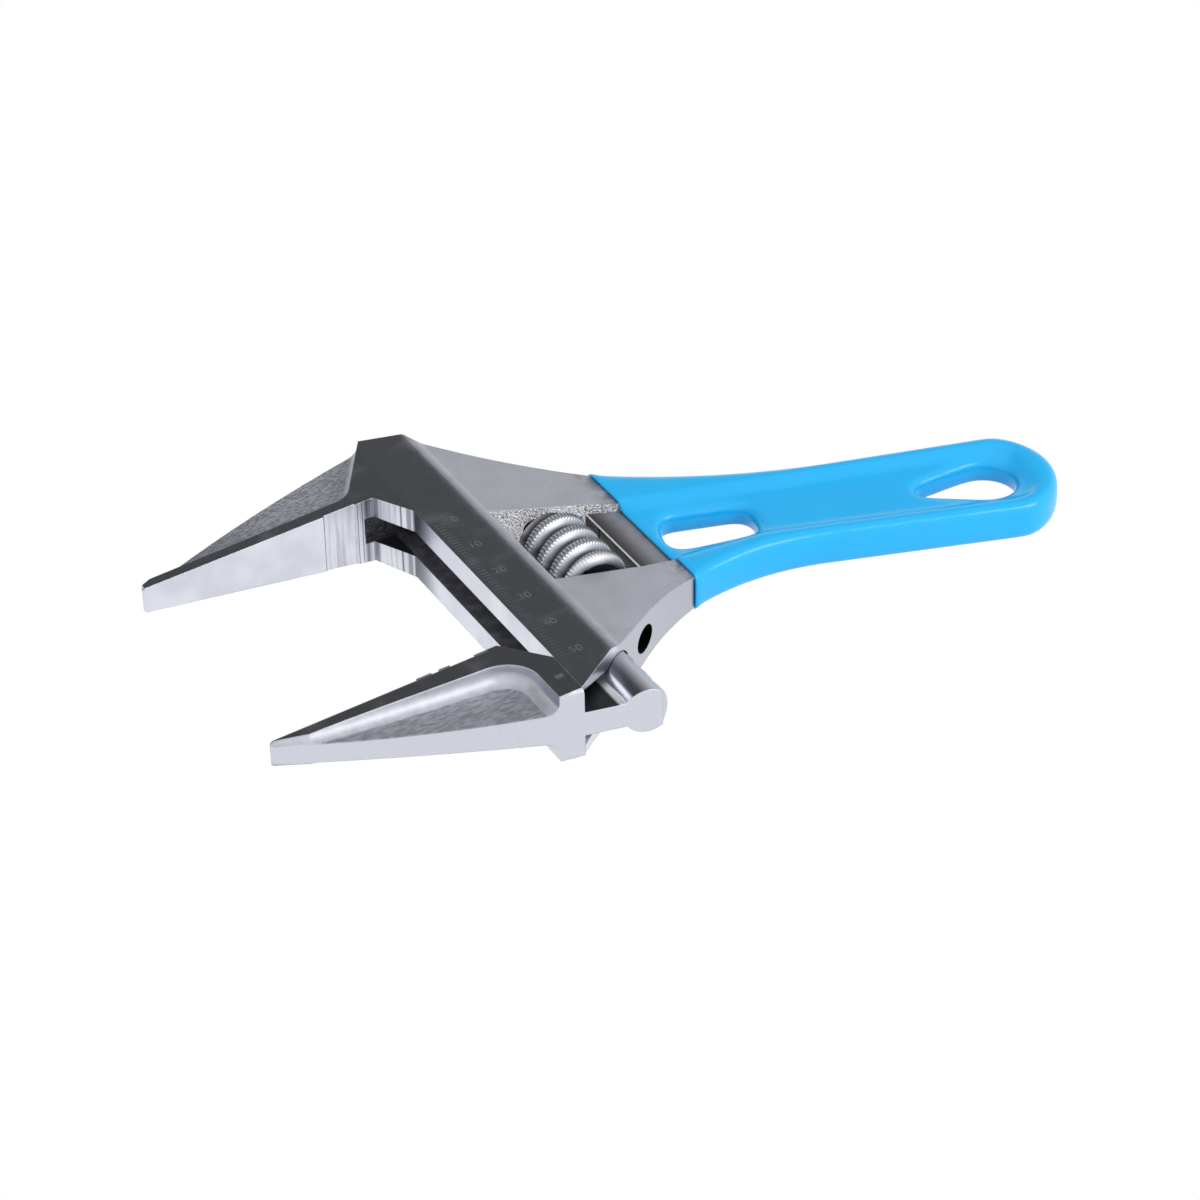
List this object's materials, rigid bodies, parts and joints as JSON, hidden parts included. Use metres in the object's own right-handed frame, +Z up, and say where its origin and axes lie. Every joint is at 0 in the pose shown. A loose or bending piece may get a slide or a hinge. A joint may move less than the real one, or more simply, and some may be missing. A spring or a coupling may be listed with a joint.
{
  "type": "adjustable wrench",
  "caption": "Short wide-opening adjustable wrench with slim tapered jaws, knurled worm and blue vinyl handle.",
  "frame": {"origin": "under the middle of the wrench, on the plane that its underside rests on", "axes": "+X from the handle towards the jaw tips, +Y the way the moving jaw opens, +Z up through the thickness"},
  "size_m": [0.175, 0.1008, 0.0156],
  "materials": {
    "forged_steel": "satin",
    "polished_steel": "satin",
    "worm_steel": "satin",
    "pin_steel": "plain",
    "blue_vinyl": "gloss"
  },
  "bodies": {
    "root": {"body": "forged_steel", "grip": "blue_vinyl", "worm_pin": "pin_steel", "worm_spring": "pin_steel"},
    "jaw": {"moving_jaw": "polished_steel"},
    "worm": {"worm": "worm_steel"}
  },
  "joints": [
    {"name": "jaw_slide", "type": "slide", "parent": "root", "child": "jaw", "axis": [0, 1, 0], "range_m": [-0.056, 0.0038]},
    {"name": "worm_spin", "type": "hinge", "parent": "root", "child": "worm", "pos_m": [0.01066, 0.00088, 0.0078], "axis": [0, 1, 0], "range_deg": [-274, 4033]}
  ],
  "couplings": [
    {"joint": "worm_spin", "follows": "jaw_slide", "rad_per_m": -1256.6}
  ]
}
